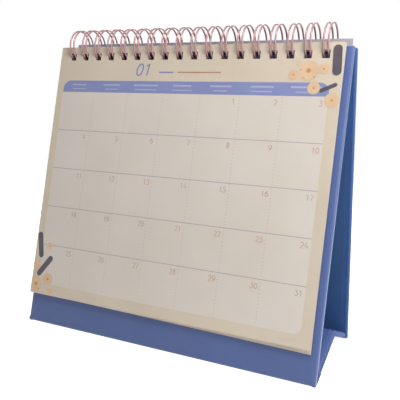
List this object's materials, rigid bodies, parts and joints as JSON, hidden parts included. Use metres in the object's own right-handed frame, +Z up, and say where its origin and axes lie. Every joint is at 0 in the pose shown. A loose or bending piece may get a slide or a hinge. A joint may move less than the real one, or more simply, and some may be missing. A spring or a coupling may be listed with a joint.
{
  "type": "desk calendar",
  "caption": "Easel desk calendar: a punched page block and turned leaves on a twin-loop wire that joins the two panels of a paper-wrapped folding case with a ridged base.",
  "frame": {"origin": "middle of the footprint, on the table", "axes": "+X along the width, to the reader's right; -Y towards the reader; +Z up"},
  "size_m": [0.165, 0.0702, 0.1636],
  "materials": {
    "cover_paper": "satin laminated",
    "lining_paper": "matt",
    "greyboard": "matt",
    "page_stock": "matt",
    "wire": "gloss"
  },
  "bodies": {
    "front": {"front_board": "greyboard", "front_cover": "cover_paper", "front_lining": "lining_paper", "front_fold": "cover_paper", "twin_loop_wire": "wire"},
    "back": {"back_board": "greyboard", "back_cover": "cover_paper", "back_lining": "lining_paper", "back_fold": "cover_paper"},
    "front_base": {"front_base_board": "greyboard", "front_base_cover": "cover_paper", "front_base_lining": "lining_paper", "ridge_fold": "cover_paper"},
    "back_base": {"back_base_board": "greyboard", "back_base_cover": "cover_paper", "back_base_lining": "lining_paper"},
    "pages": {"page_block": "page_stock"},
    "turned_leaves": {"turned_leaves": "page_stock"}
  },
  "joints": [
    {"name": "back_fold", "type": "hinge", "parent": "front", "child": "back", "pos_m": [0, 0, 0.15406], "axis": [-1, 0, 0], "range_deg": [0, 17.8], "deforming": ["ridge_fold"]},
    {"name": "front_base_fold", "type": "hinge", "parent": "front", "child": "front_base", "pos_m": [0, -0.02705, 0.00193], "axis": [1, 0, 0], "range_deg": [0, 61.23], "deforming": ["ridge_fold"]},
    {"name": "back_base_fold", "type": "hinge", "parent": "back", "child": "back_base", "pos_m": [0, 0.02705, 0.00193], "axis": [-1, 0, 0], "range_deg": [0, 61.23], "deforming": ["ridge_fold"]},
    {"name": "page_turn", "type": "hinge", "parent": "front", "child": "pages", "pos_m": [0, 0, 0.15406], "axis": [-1, 0, 0], "range_deg": [0, 160]},
    {"name": "leaf_swing", "type": "hinge", "parent": "back", "child": "turned_leaves", "pos_m": [0, 0.00869, 0.15104], "axis": [1, 0, 0], "range_deg": [0, 40]}
  ],
  "couplings": [
    {"joint": "front_base_fold", "follows": "back_fold", "ratio": 3.4115},
    {"joint": "back_base_fold", "follows": "back_fold", "ratio": 3.4115}
  ]
}
